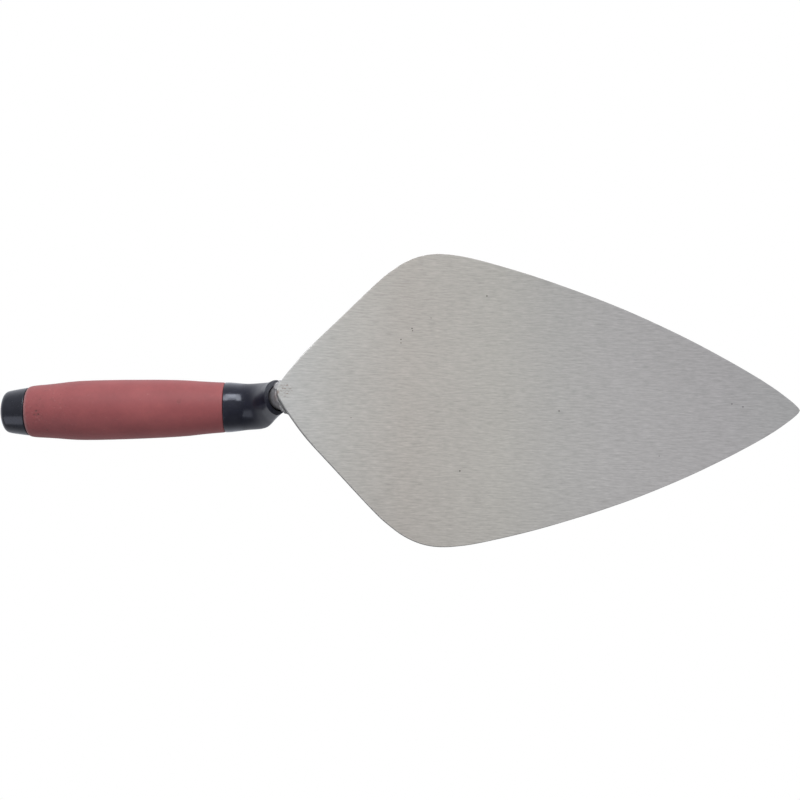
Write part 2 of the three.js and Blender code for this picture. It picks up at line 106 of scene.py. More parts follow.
LIP_ROUNDING, BORE_ROUNDING = 0.55, 0.35
HANDLE_SIDES = 144                          # points round the collar, grip and cap

# Shank: a bar rising from the blade through the collar's mouth, then bent along the handle
MOUTH = np.array([5.9, 0.0, 12.05])
LEAN = math.radians(22)
NECK_RADIUS, TANG_RADIUS, TANG_END_RADIUS = 5.75, 5.0, 3.2
BEND_RADIUS, TANG_END = 18.0, 106.0
BEND_STEPS = 16
FOOT_Z = HEEL_THICKNESS + GAP
# Foot: height above FOOT_Z, radius, share of the lean taken up
FOOT = [(0, 6.9, 0), (0.5, 6.75, 0.1), (1.2, 6.6, 0.25), (2.0, 6.48, 0.4), (2.8, 6.42, 0.55),
        (3.7, 6.38, 0.7), (4.6, 6.35, 0.85)]
# Stem: distance past the mouth, radius
STEM_PROFILE = [(-3.2, 6.42), (-1.5, 6.42), (-0.4, 6.40), (0.8, 6.34), (1.6, 6.25), (3.0, 6.0)]
# Tongue lying forward of the foot: x, half width, height
TONGUE = [
    (5.2, 4.6, 3.4), (6.2, 6.0, 4.6), (8.0, 6.7, 5.2), (11, 6.8, 5.2), (15, 6.6, 4.6), (20, 6.1, 3.8),
    (25, 5.4, 3.1), (30, 4.5, 2.4), (35, 3.3, 1.7), (38.5, 2.1, 1.2), (40.2, 1.1, 0.8),
]

# Weld: inner and outer borders of its +y half: x, y
WELD_INNER = [
    (6.2, 0), (6.6, 3.0), (7.4, 5.2), (8.8, 6.1), (11.5, 6.2), (15, 6.0), (20, 5.5), (25, 4.8),
    (30, 3.9), (34.5, 2.8), (37.6, 1.7), (39, 0.7), (39.2, 0),
]
WELD_OUTER = [
    (4.6, 0), (4.75, 3.6), (5.2, 6.6), (5.6, 8.4), (6.3, 9.3), (8.0, 9.6), (10.5, 9.3), (16, 8.7),
    (24, 7.7), (32, 6.2), (38, 4.2), (42, 1.9), (42.8, 0),
]
WELD_SLIM = 0.78                            # outer border of the -y half, as a share of the +y one
WELD_HEIGHT, BEAD_PITCH, BEAD_HALF_LENGTH, BEAD_LAG = 2.6, 1.15, 1.5, 0.35
# Lumps round the heel end of the weld: centre x, y, z; half sizes x, y, z
WELD_LUMPS = [
    (7.3, 7.3, 3.4, 1.9, 1.6, 2.0), (8.2, 6.7, 4.3, 2.3, 1.6, 2.2), (7.4, -6.2, 3.2, 1.9, 1.3, 1.6),
    (4.4, -5.0, 3.6, 1.9, 1.7, 1.6), (3.6, -3.6, 3.5, 1.7, 1.7, 1.5), (5.6, -6.2, 3.6, 1.7, 1.5, 1.6),
]

BUTTWARD = np.array([-math.cos(HANDLE_RISE), 0.0, math.sin(HANDLE_RISE)])    # handle axis
BLADEWARD = np.array([-math.sin(HANDLE_RISE), 0.0, -math.cos(HANDLE_RISE)])  # square to it, down
HANDLE_START = np.array([0.0, 0.0, LIFT])
SIDEWAYS = np.array([0.0, 1.0, 0.0])
VERTICAL = np.array([0.0, 0.0, 1.0])
STEM = np.array([-math.sin(LEAN), 0.0, math.cos(LEAN)])                      # up the leaning bar


# ------------------------------------------------------------------ curves
def unit(vector):
    return vector / np.linalg.norm(vector)


def unit_rows(vectors):
    return vectors / np.linalg.norm(vectors, axis=1)[:, None]


def centripetal(points, steps):
    """steps + 1 points of a centripetal Catmull-Rom curve in x, y, equally spaced in knot number."""
    points = np.array([(x, y, 0) for x, y in points], float)
    last = len(points) - 1

    def knot_gap(a, b):
        return max(np.sum((b - a) ** 2) ** 0.25, 1e-4)

    curve = []
    for share in np.linspace(0, 1, steps + 1):
        i = min(int(share * last), last - 1)
        w = share * last - i
        start, end = points[i], points[i + 1]
        before = points[i - 1] if i > 0 else 2 * points[0] - points[1]
        after = points[i + 2] if i + 2 <= last else 2 * points[last] - points[last - 1]
        gap_in, gap, gap_out = knot_gap(before, start), knot_gap(start, end), knot_gap(end, after)
        leave = ((start - before) / gap_in - (end - before) / (gap_in + gap)
                 + (end - start) / gap) * gap
        arrive = ((end - start) / gap - (after - start) / (gap + gap_out)
                  + (after - end) / gap_out) * gap
        square = -3 * start + 3 * end - 2 * leave - arrive
        cube = 2 * start - 2 * end + leave + arrive
        curve.append(start + leave * w + square * w * w + cube * w ** 3)
    return np.array(curve)


def smooth_rows(rows, steps):
    """Uniform Catmull-Rom through the rows of a table, with `steps` rows per interval."""
    rows = np.asarray(rows, float)
    count = len(rows)
    result = []
    for i in range(count - 1):
        a, b, c, d = rows[max(i - 1, 0)], rows[i], rows[i + 1], rows[min(i + 2, count - 1)]
        for k in range(steps):
            t = k / steps
            result.append(0.5 * (2 * b + (c - a) * t + (2 * a - 5 * b + 4 * c - d) * t * t
                                 + (3 * b - a - 3 * c + d) * t ** 3))
    result.append(rows[-1])
    return np.array(result)


def lengths_along(points):
    return np.r_[0, np.cumsum(np.linalg.norm(np.diff(points, axis=0), axis=1))]


def smooth01(x, start, end):
    t = np.clip((np.asarray(x, float) - start) / (end - start), 0, 1)
    return t * t * (3 - 2 * t)


def layered_noise(point, scale, octaves, seed):
    total, strength, frequency = 0.0, 1.0, scale
    x, y, z = point
    for _ in range(octaves):
        total += strength * noise.noise(Vector((x * frequency + seed, y * frequency - seed,
                                                z * frequency + 2 * seed)))
        strength *= 0.5
        frequency *= 2.03
    return total


def full_turn(count):
    return np.linspace(0, 2 * math.pi, count, endpoint=False)


def quarter_turn(steps, first, last):
    """(1 - sin, 1 - cos) at steps first..last of a quarter turn."""
    angles = [k / steps * math.pi / 2 for k in range(first, last + 1)]
    return [(1 - math.sin(angle), 1 - math.cos(angle)) for angle in angles]


def ring_round(centre, axis, radius, angles):
    """A ring square to an axis in the xz plane; the radius may vary from point to point."""
    side = unit(np.cross(axis, SIDEWAYS))
    radius = np.reshape(radius, (-1, 1))
    return (centre + np.outer(np.cos(angles), side) * radius
            + np.outer(np.sin(angles), SIDEWAYS) * radius)


def handle_ring(station, radius, angles):
    return ring_round(HANDLE_START + BUTTWARD * station, BUTTWARD, radius, angles)


def slant_joint(ring):
    """Shift points along the handle so that the joint of collar and grip is slanted."""
    station = (ring - HANDLE_START) @ BUTTWARD
    across = (ring - HANDLE_START) @ BLADEWARD
    share = np.where(station < COLLAR_END, smooth01(station, COLLAR_END - 10, COLLAR_END),
                     1 - smooth01(station, COLLAR_END + 1, COLLAR_END + 26))
    return ring + np.outer(-JOINT_SKEW * across * share, BUTTWARD)


# ------------------------------------------------------------------ meshes
def link_object(name, mesh):
    obj = bpy.data.objects.new(name, mesh)
    bpy.context.scene.collection.objects.link(obj)
    return obj


def shade_smooth(mesh):
    for face in mesh.polygons:
        face.use_smooth = True


def make(name, points, faces):
    """An object from points in the heel frame, in mm."""
    points = (np.asarray(points, float) - HEEL_ORIGIN) * MM
    mesh = bpy.data.meshes.new(name)
    mesh.from_pydata([tuple(p) for p in points], [], [tuple(int(i) for i in f) for f in faces])
    mesh.update()
    obj = link_object(name, mesh)
    bm = bmesh.new()
    bm.from_mesh(mesh)
    bmesh.ops.remove_doubles(bm, verts=bm.verts, dist=2e-7)
    bmesh.ops.dissolve_degenerate(bm, edges=bm.edges, dist=1e-7)
    bmesh.ops.recalc_face_normals(bm, faces=bm.faces)
    bm.to_mesh(mesh)
    bm.free()
    shade_smooth(mesh)
    return obj


def ring_faces(count, size, closed=False):
    """Quads between successive rings; closed also joins the last ring to the first."""
    faces = []
    for i in range(count if closed else count - 1):
        j = (i + 1) % count
        for k in range(size):
            following = (k + 1) % size
            faces.append((i * size + k, i * size + following, j * size + following, j * size + k))
    return faces


def loft(name, rings, closed=False):
    """A skin over rings, capped at both ends unless closed on itself."""
    rings = np.asarray(rings, float)
    count, size = rings.shape[:2]
    faces = ring_faces(count, size, closed)
    if not closed:
        faces.append(tuple(range(size)))
        faces.append(tuple((count - 1) * size + k for k in range(size)))
    return make(name, rings.reshape(-1, 3), faces)


def distinct(corners):
    """The corners of a face in order, without repeats."""
    return tuple(dict.fromkeys(corners))


def join(objects, name):
    bm = bmesh.new()
    for obj in objects:
        bm.from_mesh(obj.data)
    mesh = bpy.data.meshes.new(name)
    bm.to_mesh(mesh)
    bm.free()
    for obj in objects:
        bpy.data.objects.remove(obj)
    return link_object(name, mesh)


def fuse(obj, voxel_mm, relax_steps):
    """One skin round overlapping closed shells, relaxed so that the joints become fillets."""
    bpy.context.view_layer.objects.active = obj
    remesh = obj.modifiers.new("fuse", "REMESH")
    remesh.mode = "VOXEL"
    remesh.voxel_size = voxel_mm * MM
    remesh.use_smooth_shade = True
    relax = obj.modifiers.new("relax", "SMOOTH")
    relax.iterations = relax_steps
    relax.factor = 0.5
    depsgraph = bpy.context.evaluated_depsgraph_get()
    mesh = bpy.data.meshes.new_from_object(obj.evaluated_get(depsgraph))
    old = obj.data
    obj.modifiers.clear()
    obj.data = mesh
    mesh.name = obj.name
    bpy.data.meshes.remove(old)
    shade_smooth(mesh)


def keep_above(obj, height_mm):
    for vertex in obj.data.vertices:
        vertex.co.z = max(vertex.co.z, height_mm * MM)


def roughen(obj, amount_mm, scale, seed, from_x=-math.inf):
    """Push vertices along their normals by noise, forward of from_x in the heel frame."""
    mesh = obj.data
    normals = [vertex.normal.copy() for vertex in mesh.vertices]
    for vertex, normal in zip(mesh.vertices, normals):
        point = vertex.co / MM
        if point.x + HEEL_TO_WIDEST > from_x:
            shift = amount_mm * layered_noise(point, scale, 3, seed)
            vertex.co += normal * shift * MM
    mesh.update()


# ------------------------------------------------------------------ blade
OUTLINE_POINTS = 460                  # along each side
END_CROWDING = 0.48                   # outline points lie closer together at heel and tip
FLAT_INSETS = (1.0, 3.0, 9.0)         # rings on the flats, inside the rounded edges
FLAT_COLUMNS = 14
# Edge roundings: a base radius plus an extra that fades out from the heel over a length.
# The lower edge's extra is larger on the +y side.
LOWER_ROUNDING, LOWER_EXTRA, LOWER_EXTRA_PLUS_Y, LOWER_FADE = 0.13, 0.06, 0.55, 18.0
UPPER_ROUNDING, UPPER_EXTRA, UPPER_FADE = 0.42, 0.25, 30.0
ROUNDING_LIMIT = 0.42                 # share of the thickness
WEAR_REACH, EDGE_REACH = 1.5, 1.2     # fading lengths of the wear and of the "edge" attribute


def blade_outline():
    """Points of one side, heel to tip, and the whole outline: +y side out, -y side back."""
    half = centripetal(BLADE_HALF, 3000)
    half[0, 1] = half[-1, 1] = 0
    t = np.linspace(0, 1, OUTLINE_POINTS)
    t = t - END_CROWDING * np.sin(2 * math.pi * t) / (2 * math.pi)
    length = lengths_along(half)
    half = np.stack([np.interp(t * length[-1], length, half[:, k]) for k in range(3)], axis=1)
    skew = -HEEL_SKEW * np.exp(-(half[:, 0] - BLADE_START) / HEEL_SKEW_LENGTH)
    plus_side = np.c_[half[:, 0], skew + half[:, 1]]
    minus_side = np.c_[half[:, 0], skew - half[:, 1]]
    return half, np.r_[plus_side, minus_side[1:-1][::-1]]


def edge_wear(x, y):
    """Inset of the worn edge: long shallow flats and a few fine nicks."""
    flats = max(0.0, layered_noise((x, y, 0), 0.035, 3, 4.0)) * 0.06
    nicks = max(0.0, layered_noise((x, y, 0), 0.33, 2, 9.0) - 0.70) * 0.12
    return flats + nicks


def blade_section(half, outline):
    """Pairs of inset and height, as rings go from the lower flat round the edge to the upper."""
    x = outline[:, 0]
    share = (x - half[0, 0]) / (half[-1, 0] - half[0, 0])
    thickness = HEEL_THICKNESS + (TIP_THICKNESS - HEEL_THICKNESS) * share
    lower_extra = LOWER_EXTRA + LOWER_EXTRA_PLUS_Y * smooth01(outline[:, 1], -3, 3)
    lower = LOWER_ROUNDING + lower_extra * np.exp(-(x - BLADE_START) / LOWER_FADE)
    upper = UPPER_ROUNDING + UPPER_EXTRA * np.exp(-(x - BLADE_START) / UPPER_FADE)
    lower = np.minimum(lower, thickness * ROUNDING_LIMIT)
    upper = np.minimum(upper, thickness * ROUNDING_LIMIT)
    # the inner rings close up to the edge where the blade is narrow
    spread = np.minimum(1.0, 0.08 + smooth01(x, 6, 30) * (1 - smooth01(x, 262, 284)))
    arc = quarter_turn(4, 0, 4)
    section = [(lower + inset * spread, 0 * x) for inset in reversed(FLAT_INSETS)]
    section += [(lower * sine, lower * cosine) for sine, cosine in arc]
    section += [(upper * cosine, thickness - upper * sine) for sine, cosine in arc]
    section += [(upper + inset * spread, thickness) for inset in FLAT_INSETS]
    return section


def build_blade():
    half, outline = blade_outline()
    side_count, size = len(half), len(outline)
    tangent = unit_rows(np.roll(outline, -1, axis=0) - np.roll(outline, 1, axis=0))
    inward = np.c_[tangent[:, 1], -tangent[:, 0]]
    wear = np.array([edge_wear(x, y) for x, y in outline])
    section = blade_section(half, outline)
    rings = []
    for inset, height in section:
        depth = inset + wear * np.exp(-inset / WEAR_REACH)
        rings.append(np.c_[outline + inward * depth[:, None], height])
    ring_points = np.concatenate(rings)
    faces = ring_faces(len(section), size)
    # flats: strips between mirrored points of the first and of the last ring
    points = [tuple(p) for p in ring_points]
    for base in (0, (len(section) - 1) * size):
        grid = []
        for j in range(side_count):
            plus, minus = base + j, base + (size - j) % size
            if plus == minus:
                grid.append([plus] * (FLAT_COLUMNS + 1))
                continue
            row = [plus]
            for column in range(1, FLAT_COLUMNS):
                share = column / FLAT_COLUMNS
                row.append(len(points))
                points.append(tuple(ring_points[plus] * (1 - share) + ring_points[minus] * share))
            grid.append(row + [minus])
        for row, following in zip(grid, grid[1:]):
            for c in range(FLAT_COLUMNS):
                faces.append(distinct((row[c], row[c + 1], following[c + 1], following[c])))
    obj = make("blade_visual", points, faces)

    # closeness to the outline, for the wear in the material
    closeness = obj.data.attributes.new("edge", "FLOAT", "POINT")
    tree = KDTree(size)
    for i, (x, y) in enumerate(outline):
        tree.insert((x, y, 0), i)
    tree.balance()
    for i, vertex in enumerate(obj.data.vertices):
        point = vertex.co / MM
        distance = tree.find((point.x + HEEL_TO_WIDEST, point.y, 0))[2]
        closeness.data[i].value = math.exp(-distance / EDGE_REACH)
    normals = obj.modifiers.new("normals", "WEIGHTED_NORMAL")
    normals.keep_sharp = True
    return obj


# ------------------------------------------------------------------ shank
def bar_path():
    """(centre, direction, radius) along the bar, from its foot to the end of the tang."""
    def cross_xz(a, b):
        return a[0] * b[2] - a[2] * b[0]

    to_corner = cross_xz(HANDLE_START - MOUTH, BUTTWARD) / cross_xz(STEM, BUTTWARD)
    corner = MOUTH + STEM * to_corner
    turn = math.acos(float(np.dot(STEM, BUTTWARD)))
    tangent = BEND_RADIUS * math.tan(turn / 2)
    start = corner - STEM * tangent
    inward = unit(BUTTWARD - STEM * float(np.dot(STEM, BUTTWARD)))
    centre = start + inward * BEND_RADIUS
    rows = []
    for rise, radius, tilt in FOOT:
        place = MOUTH + STEM * (FOOT_Z + rise - MOUTH[2]) / STEM[2]
        rows.append((place, unit(VERTICAL * (1 - tilt) + STEM * tilt), radius))
    for along, radius in STEM_PROFILE:
        rows.append((MOUTH + STEM * along, STEM, radius))
    neck_from = STEM_PROFILE[-1][0]
    neck_to = float(np.dot(start - MOUTH, STEM))
    for share in (0.45, 0.7, 1.0):
        along = neck_from + (neck_to - neck_from) * share
        rows.append((MOUTH + STEM * along, STEM, NECK_RADIUS))
    for i in range(1, BEND_STEPS + 1):
        angle = turn * i / BEND_STEPS
        sine, cosine = math.sin(angle), math.cos(angle)
        rows.append((centre - inward * BEND_RADIUS * cosine + STEM * BEND_RADIUS * sine,
                     STEM * cosine + inward * sine,
                     NECK_RADIUS + (TANG_RADIUS - NECK_RADIUS) * i / BEND_STEPS))

    def add_tang(station, radius):
        rows.append((HANDLE_START + BUTTWARD * station, BUTTWARD, radius))

    tang_start = float(np.dot(corner - HANDLE_START, BUTTWARD)) + tangent
    for share in np.linspace(0.1, 1, 14):
        add_tang(tang_start + (TANG_END - 2.5 - tang_start) * share,
                 TANG_RADIUS + (TANG_END_RADIUS + 0.1 - TANG_RADIUS) * share)
    add_tang(TANG_END - 1.0, TANG_END_RADIUS - 0.25)
    add_tang(TANG_END, TANG_END_RADIUS - 1.2)
    return rows


def build_shank():
    angles = full_turn(64)
    bar = loft("bar", [ring_round(centre, axis, radius, angles)
                       for centre, axis, radius in bar_path()])
    angles = full_turn(48)
    rings = []
    for x, width, height in smooth_rows(TONGUE, 6):
        z = np.maximum(np.cos(angles) * height, -0.02)
        rings.append(np.c_[np.full(48, x), np.sin(angles) * width, FOOT_Z + z])
    tongue = loft("tongue", rings)
    obj = join([bar, tongue], "shank_visual")
    fuse(obj, voxel_mm=0.38, relax_steps=3)
    keep_above(obj, FOOT_Z - 0.12)
    roughen(obj, amount_mm=0.05, scale=0.22, seed=3.0, from_x=-14)
    return obj


# ------------------------------------------------------------------ weld
def blob(name, place):
    """An unlinked unit ball whose points are moved by place(x, y, z) to the heel frame, mm."""
    bm = bmesh.new()
    bmesh.ops.create_icosphere(bm, subdivisions=3, radius=1.0)
    for vertex in bm.verts:
        x, y, z = place(*vertex.co)
        vertex.co = Vector(((x - HEEL_TO_WIDEST) * MM, y * MM, z * MM))
    mesh = bpy.data.meshes.new(name)
    bm.to_mesh(mesh)
    bm.free()
    return bpy.data.objects.new(name, mesh)


def weld_bead(centre_x, centre_y, run_x, run_y, half_width, height):
    """One ripple of the weld; (run_x, run_y) is the direction of the run."""
    wobble = noise.noise(Vector((centre_x * 0.7, centre_y * 0.7, 3.1)))
    half_width = half_width * (0.92 + 0.08 * wobble)
    height = height * (0.96 + 0.12 * wobble)

    def place(x, y, z):
        along, across = x * BEAD_HALF_LENGTH, y * half_width
        z = z * height if z > 0 else z * 0.5
        along -= BEAD_LAG * (1 - (across / half_width) ** 2)   # the middle lags behind the sides
        return (centre_x + run_x * along - run_y * across,
                centre_y + run_y * along + run_x * across,
                FOOT_Z - 0.1 + z)
    return blob("bead", place)


def weld_lump(centre_x, centre_y, centre_z, size_x, size_y, size_z):
    return blob("lump", lambda x, y, z: (centre_x + x * size_x, centre_y + y * size_y,
                                         centre_z + z * size_z))


def build_weld():
    inner, full_outer = centripetal(WELD_INNER, 400), centripetal(WELD_OUTER, 400)
    shells = []
    for side, width in ((1, 1.0), (-1, WELD_SLIM)):
        outer = full_outer * [1, width, 1]
        middle = (inner + outer) / 2
        half_width = np.linalg.norm(outer - inner, axis=1) / 2
        length = lengths_along(middle)
        count = int(length[-1] / BEAD_PITCH)
        for i in range(count + 1):
            at = length[-1] * i / count
            x, y = np.interp(at, length, middle[:, 0]), np.interp(at, length, middle[:, 1])
            # the run gets lower over its second half
            height = WELD_HEIGHT * (1 - 0.55 * max(0.0, at / length[-1] - 0.5) * 2)
            j = min(int(np.searchsorted(length, at)), len(middle) - 2)
            run = unit(middle[j + 1] - middle[j])
            shells.append(weld_bead(x, side * y, run[0], side * run[1],
                                    np.interp(at, length, half_width), height))
    shells += [weld_lump(*lump) for lump in WELD_LUMPS]
    obj = join(shells, "heel_weld_visual")
    fuse(obj, voxel_mm=0.24, relax_steps=2)
    keep_above(obj, HEEL_THICKNESS + 0.04)
    roughen(obj, amount_mm=0.05, scale=0.7, seed=5.0)
    keep_above(obj, HEEL_THICKNESS + 0.04)
    return obj


# ------------------------------------------------------------------ front collar
def collar_ring(row, angles):
    """One section; angle 0 is its lower rear point, half a turn its upper front point."""
    rear_x, rear_z, front_x, front_z, middle_x, middle_z, width, narrowing = row
    middle = np.array([middle_x, 0, middle_z])
    rear = np.array([rear_x, 0, rear_z]) - middle
    front = np.array([front_x, 0, front_z]) - middle
    cosine, sine = np.cos(angles), np.sin(angles)
    across = sine * width * (1 - max(narrowing, 0) * np.maximum(0, -cosine))
    return (middle + np.outer(np.maximum(cosine, 0), rear)
            + np.outer(np.maximum(-cosine, 0), front) + np.outer(across, SIDEWAYS))


def build_collar():
    angles = full_turn(HANDLE_SIDES)
    outer = [collar_ring(row, angles) for row in smooth_rows(COLLAR, 8)]
    rim = outer[-1]
    centre = np.mean(rim, axis=0)
    out_of_mouth = unit(np.cross(SIDEWAYS, unit(rim[HANDLE_SIDES // 2] - rim[0])))

    def bore_at_mouth(radius, lift):
        """The bore's ring where it crosses the plane of the mouth, raised by lift."""
        ring = ring_round(MOUTH, STEM, radius, angles)
        slide = np.dot(centre, out_of_mouth) + lift - ring @ out_of_mouth
        return ring + np.outer(slide / np.dot(STEM, out_of_mouth), STEM)

    rings = [slant_joint(ring) for ring in outer[:-2]]
    # outer rounding of the lip, its flat face, then the rounding into the bore
    bore_rim = bore_at_mouth(BORE_RADIUS + BORE_ROUNDING, 0)
    toward_bore = unit_rows(bore_rim - rim)
    outward = unit_rows(rim - outer[-3])
    for sine, cosine in quarter_turn(8, 1, 7):
        rings.append(rim - outward * LIP_ROUNDING * sine + toward_bore * LIP_ROUNDING * cosine)
    for share in (0.12, 0.35, 0.65, 0.9):
        rings.append((rim + toward_bore * LIP_ROUNDING) * (1 - share) + bore_rim * share)
    for sine, cosine in quarter_turn(4, 1, 4):
        rings.append(bore_at_mouth(BORE_RADIUS + BORE_ROUNDING * sine, -BORE_ROUNDING * cosine))
    # bore, following the bar round its bend
    for along in (2.5, 6.0, 10.0):
        rings.append(ring_round(MOUTH + STEM * along, STEM, BORE_RADIUS, angles))
    bend_start = len(FOOT) + len(STEM_PROFILE) + 3
    for place, axis, _ in bar_path()[bend_start:bend_start + BEND_STEPS:2]:
        rings.append(ring_round(place, axis, BORE_RADIUS, angles))
    # socket round the spigot, out to the joint with the grip
    socket = SPIGOT_RADIUS + GAP
    for station, radius in [(SPIGOT_START - GAP, BORE_RADIUS), (SPIGOT_START - GAP, socket),
                            (COLLAR_END - 0.2, socket), (COLLAR_END, socket + 0.2),
                            (COLLAR_END, 12.9)]:
        rings.append(slant_joint(handle_ring(station, radius, angles)))
    return loft("front_collar_visual", rings, closed=True)


# ------------------------------------------------------------------ grip and cap
GRIP_SHRINK, GRIP_UNEVENNESS = 0.060, 0.05
CAP_SHRINK, CAP_DOME_DROP = 0.04, 0.02


def build_grip():
    """A sleeve with a barely uneven skin."""
    angles = full_turn(HANDLE_SIDES)
    start, end, inner = GRIP[0][0], GRIP[-1][0], CORE_RADIUS + GAP
    profile = [(start, inner), (start, 12.7), *smooth_rows(GRIP, 5),
               (end, 12.6), (end, inner), ((start + end) / 2, inner)]
    rings = []
    for station, radius in profile:
        if radius > 12.8:                            # outer skin only
            uneven = GRIP_UNEVENNESS * smooth01(station, 24, 40)
            uneven *= 1 - smooth01(station, 118, 129)
            waves = np.array([layered_noise((station * 0.35, math.cos(a) * 5, math.sin(a) * 5),
                                            0.22, 3, 7.0) for a in angles])
            radius = radius - (uneven * np.abs(waves) + GRIP_SHRINK)
        rings.append(slant_joint(handle_ring(station, radius, angles)))
    return loft("grip_sleeve_visual", rings, closed=True)


def build_cap():
    """A dome with a plug inside the handle, closed by a point at each end."""
    joint = CAP[0][0]
    profile = [(PLUG_START, PLUG_RADIUS - PLUG_CHAMFER), (PLUG_START + PLUG_CHAMFER, PLUG_RADIUS),
               (joint, PLUG_RADIUS), (joint, 12.5)]
    dome = [(station - CAP_DOME_DROP * smooth01(station, 140, 147),
             max(radius - CAP_SHRINK * (radius > 1), 0.0))
            for station, radius in smooth_rows(CAP, 6)]
    profile += dome[:-1]
    angles = full_turn(HANDLE_SIDES)
    points, faces = [HANDLE_START + BUTTWARD * PLUG_START], []
    previous = [0] * HANDLE_SIDES

    def skin_to(ring):
        for k in range(HANDLE_SIDES):
            j = (k + 1) % HANDLE_SIDES
            faces.append(distinct((previous[k], previous[j], ring[j], ring[k])))

    for station, radius in profile:
        ring = [len(points) + k for k in range(HANDLE_SIDES)]
        points.extend(handle_ring(station, radius, angles))
        skin_to(ring)
        previous = ring
    skin_to([len(points)] * HANDLE_SIDES)
    points.append(HANDLE_START + BUTTWARD * dome[-1][0])
    return make("butt_cap_visual", points, faces)


# ------------------------------------------------------------------ shader helpers
class Graph:
    """Short calls that build the node tree of a material, light or world."""

    def __init__(self, owner):
        self.owner = owner
        owner.use_nodes = True
        self.tree = owner.node_tree
        self.tree.nodes.clear()

    def node(self, kind, **properties):
        node = self.tree.nodes.new(kind)
        for key, value in properties.items():
            setattr(node, key, value)
        return node

    def put(self, socket, value):
        """Link a socket or set a value; None leaves the default."""
        if isinstance(value, bpy.types.NodeSocket):
            self.tree.links.new(value, socket)
        elif value is not None:
            socket.default_value = (*value, 1) if socket.type == "RGBA" else value

    def fed(self, kind, **inputs):
        """First output of a new node; inputs by name, with _ for a space."""
        node = self.node(kind)
        for key, value in inputs.items():
            self.put(node.inputs[key.replace("_", " ")], value)
        return node.outputs[0]

    def filled(self, node, *values):
        """The node, with its first inputs set in order."""
        for socket, value in zip(node.inputs, values):
            self.put(socket, value)
        return node

    def math(self, operation, *values):
        return self.filled(self.node("ShaderNodeMath", operation=operation), *values).outputs[0]

    def times(self, value, by):
        return self.math("MULTIPLY", value, by)

    def scaled(self, value, times, plus):
        return self.math("MULTIPLY_ADD", value, times, plus)

    def vary(self, value, amount, plus):
        """Adds amount x (value - 0.5) to plus."""
        return self.scaled(self.math("SUBTRACT", value, 0.5), times=amount, plus=plus)

    def inverse(self, value):
        return self.math("SUBTRACT", 1.0, value)

    def vector(self, operation, *values):
        node = self.filled(self.node("ShaderNodeVectorMath", operation=operation), *values)
        scalar = operation in ("DOT_PRODUCT", "LENGTH", "DISTANCE")
        return node.outputs["Value" if scalar else "Vector"]

    def along(self, point, start, axis):
        """Distance of a point from start, measured along axis."""
        return self.vector("DOT_PRODUCT", self.vector("SUBTRACT", point, start), axis)

    def noise(self, point, scale=1.0, detail=3.0, rough=0.5, stretch=None):
        if stretch:
            point = self.vector("MULTIPLY", point, stretch)
        return self.fed("ShaderNodeTexNoise", Vector=point, Scale=scale, Detail=detail,
                        Roughness=rough)

    def voronoi(self, point, scale):
        return self.fed("ShaderNodeTexVoronoi", Vector=point, Scale=scale)

    def span(self, value, start, end, to=(0.0, 1.0), kind="LINEAR"):
        """Maps start..end to the range `to`, clamped."""
        node = self.node("ShaderNodeMapRange", interpolation_type=kind, clamp=True)
        return self.filled(node, value, start, end, *to).outputs[0]

    def fade(self, value, start, end, to=(0.0, 1.0)):
        return self.span(value, start, end, to, kind="SMOOTHSTEP")

    def mix(self, share, first, second, mode="MIX"):
        node = self.node("ShaderNodeMix", data_type="RGBA", blend_type=mode)
        for i, value in ((0, share), (6, first), (7, second)):
            self.put(node.inputs[i], value)
        return node.outputs[2]

    def shade(self, colour, by):
        """The colour multiplied by a grey value."""
        grey = self.filled(self.node("ShaderNodeCombineColor"), by, by, by).outputs[0]
        return self.mix(1.0, colour, grey, mode="MULTIPLY")

    def ramp(self, value, stops):
        """Colour ramp; stops are (position, colour)."""
        node = self.filled(self.node("ShaderNodeValToRGB"), value)
        elements = node.color_ramp.elements
        while len(elements) < len(stops):
            elements.new(0.5)
        for element, (position, colour) in zip(elements, stops):
            element.position = position
            element.color = (*colour, 1)
        return node.outputs[0]

    def bump(self, height, distance, strength, normal=None):
        return self.fed("ShaderNodeBump", Strength=strength, Distance=distance, Height=height,
                        Normal=normal)

    def point(self):
        return self.node("ShaderNodeTexCoord").outputs["Object"]

    def normal(self):
        return self.node("ShaderNodeNewGeometry").outputs["Normal"]

    def camera_ray(self):
        return self.node("ShaderNodeLightPath").outputs["Is Camera Ray"]

    def xyz(self, vector):
        return self.filled(self.node("ShaderNodeSeparateXYZ"), vector).outputs

    def mix_shader(self, share, first, second):
        return self.filled(self.node("ShaderNodeMixShader"), share, first, second).outputs[0]

    def camera_below(self):
        """1 when the scene is looked at from under the blade, 0 from above the floor."""
        node = self.node("ShaderNodeVectorTransform", vector_type="POINT",
                         convert_from="CAMERA", convert_to="WORLD")
        height = self.xyz(self.filled(node, (0, 0, 0)).outputs[0])["Z"]
        return self.math("LESS_THAN", height, -0.01)

    def finish(self, shader, kind="Material"):
        self.filled(self.node("ShaderNodeOutput" + kind), shader)
        return self.owner

    def principled(self, **inputs):
        return self.finish(self.fed("ShaderNodeBsdfPrincipled", **inputs))


def new_material(name):
    return Graph(bpy.data.materials.new(name))


# ------------------------------------------------------------------ materials, places in metres
# Pinholes in the blade's underside: scene x, y and radius, mm
PINHOLES = [(-15.8, -37.6, 0.42), (-15.5, -36.4, 0.34), (-21.7, -31.4, 0.40), (-21.7, -29.5, 0.36),
            (24.7, -57.1, 0.44), (10.2, 38.8, 0.46), (63.7, 4.7, 0.42), (-5.6, -43.8, 0.30),
            (158.6, -2.3, 0.40), (164.7, -0.9, 0.42), (118.0, 27.5, 0.30), (-48.0, 12.0, 0.28)]
